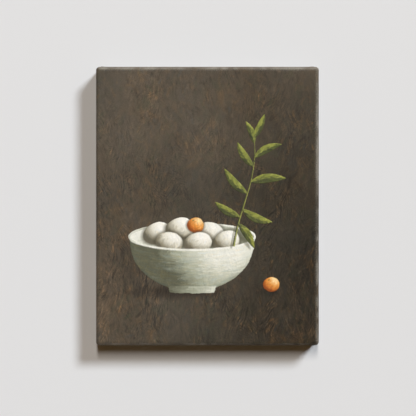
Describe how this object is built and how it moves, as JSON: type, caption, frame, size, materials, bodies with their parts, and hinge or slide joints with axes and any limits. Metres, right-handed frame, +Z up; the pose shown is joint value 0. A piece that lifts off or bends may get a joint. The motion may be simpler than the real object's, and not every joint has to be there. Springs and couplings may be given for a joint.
{
  "type": "stretched canvas picture",
  "caption": "Upright stretched canvas picture, gallery-wrapped round a keyed wooden stretcher frame, with a sawtooth hanger and rubber wall bumpers behind.",
  "frame": {"origin": "on the wall plane, where a hook or nail in the wall meets the middle notch of the sawtooth hanger", "axes": "+Z up the picture, +X to the right as a viewer sees the painted front, +Y into the wall; the front faces -Y"},
  "size_m": [0.2032, 0.0342, 0.2548],
  "materials": {
    "painted_canvas": "oil-style paint in satin varnish on primed cotton canvas, bare unbleached cotton behind",
    "pine": "planed and sanded, unfinished",
    "beech": "sawn, unfinished",
    "galvanised_wire": "galvanised wire",
    "plated_steel": "stamped steel strip, yellow zinc plated",
    "bumper_rubber": "matte moulded rubber"
  },
  "bodies": {
    "root": {"canvas": "painted_canvas", "stretcher_bar_top": "pine", "stretcher_bar_right": "pine", "stretcher_bar_bottom": "pine", "stretcher_bar_left": "pine", "key_1": "beech", "key_2": "beech", "key_3": "beech", "key_4": "beech", "key_5": "beech", "key_6": "beech", "key_7": "beech", "key_8": "beech", "staple_01": "galvanised_wire", "staple_02": "galvanised_wire", "staple_03": "galvanised_wire", "staple_04": "galvanised_wire", "staple_05": "galvanised_wire", "staple_06": "galvanised_wire", "staple_07": "galvanised_wire", "staple_08": "galvanised_wire", "staple_09": "galvanised_wire", "staple_10": "galvanised_wire", "staple_11": "galvanised_wire", "staple_12": "galvanised_wire", "staple_13": "galvanised_wire", "staple_14": "galvanised_wire", "staple_15": "galvanised_wire", "staple_16": "galvanised_wire", "staple_17": "galvanised_wire", "staple_18": "galvanised_wire", "staple_19": "galvanised_wire", "staple_20": "galvanised_wire", "staple_21": "galvanised_wire", "staple_22": "galvanised_wire", "staple_23": "galvanised_wire", "staple_24": "galvanised_wire", "staple_25": "galvanised_wire", "staple_26": "galvanised_wire", "sawtooth_hanger": "plated_steel", "hanger_nail_left": "galvanised_wire", "hanger_nail_right": "galvanised_wire", "wall_bumper_left": "bumper_rubber", "wall_bumper_right": "bumper_rubber"}
  },
  "joints": []
}
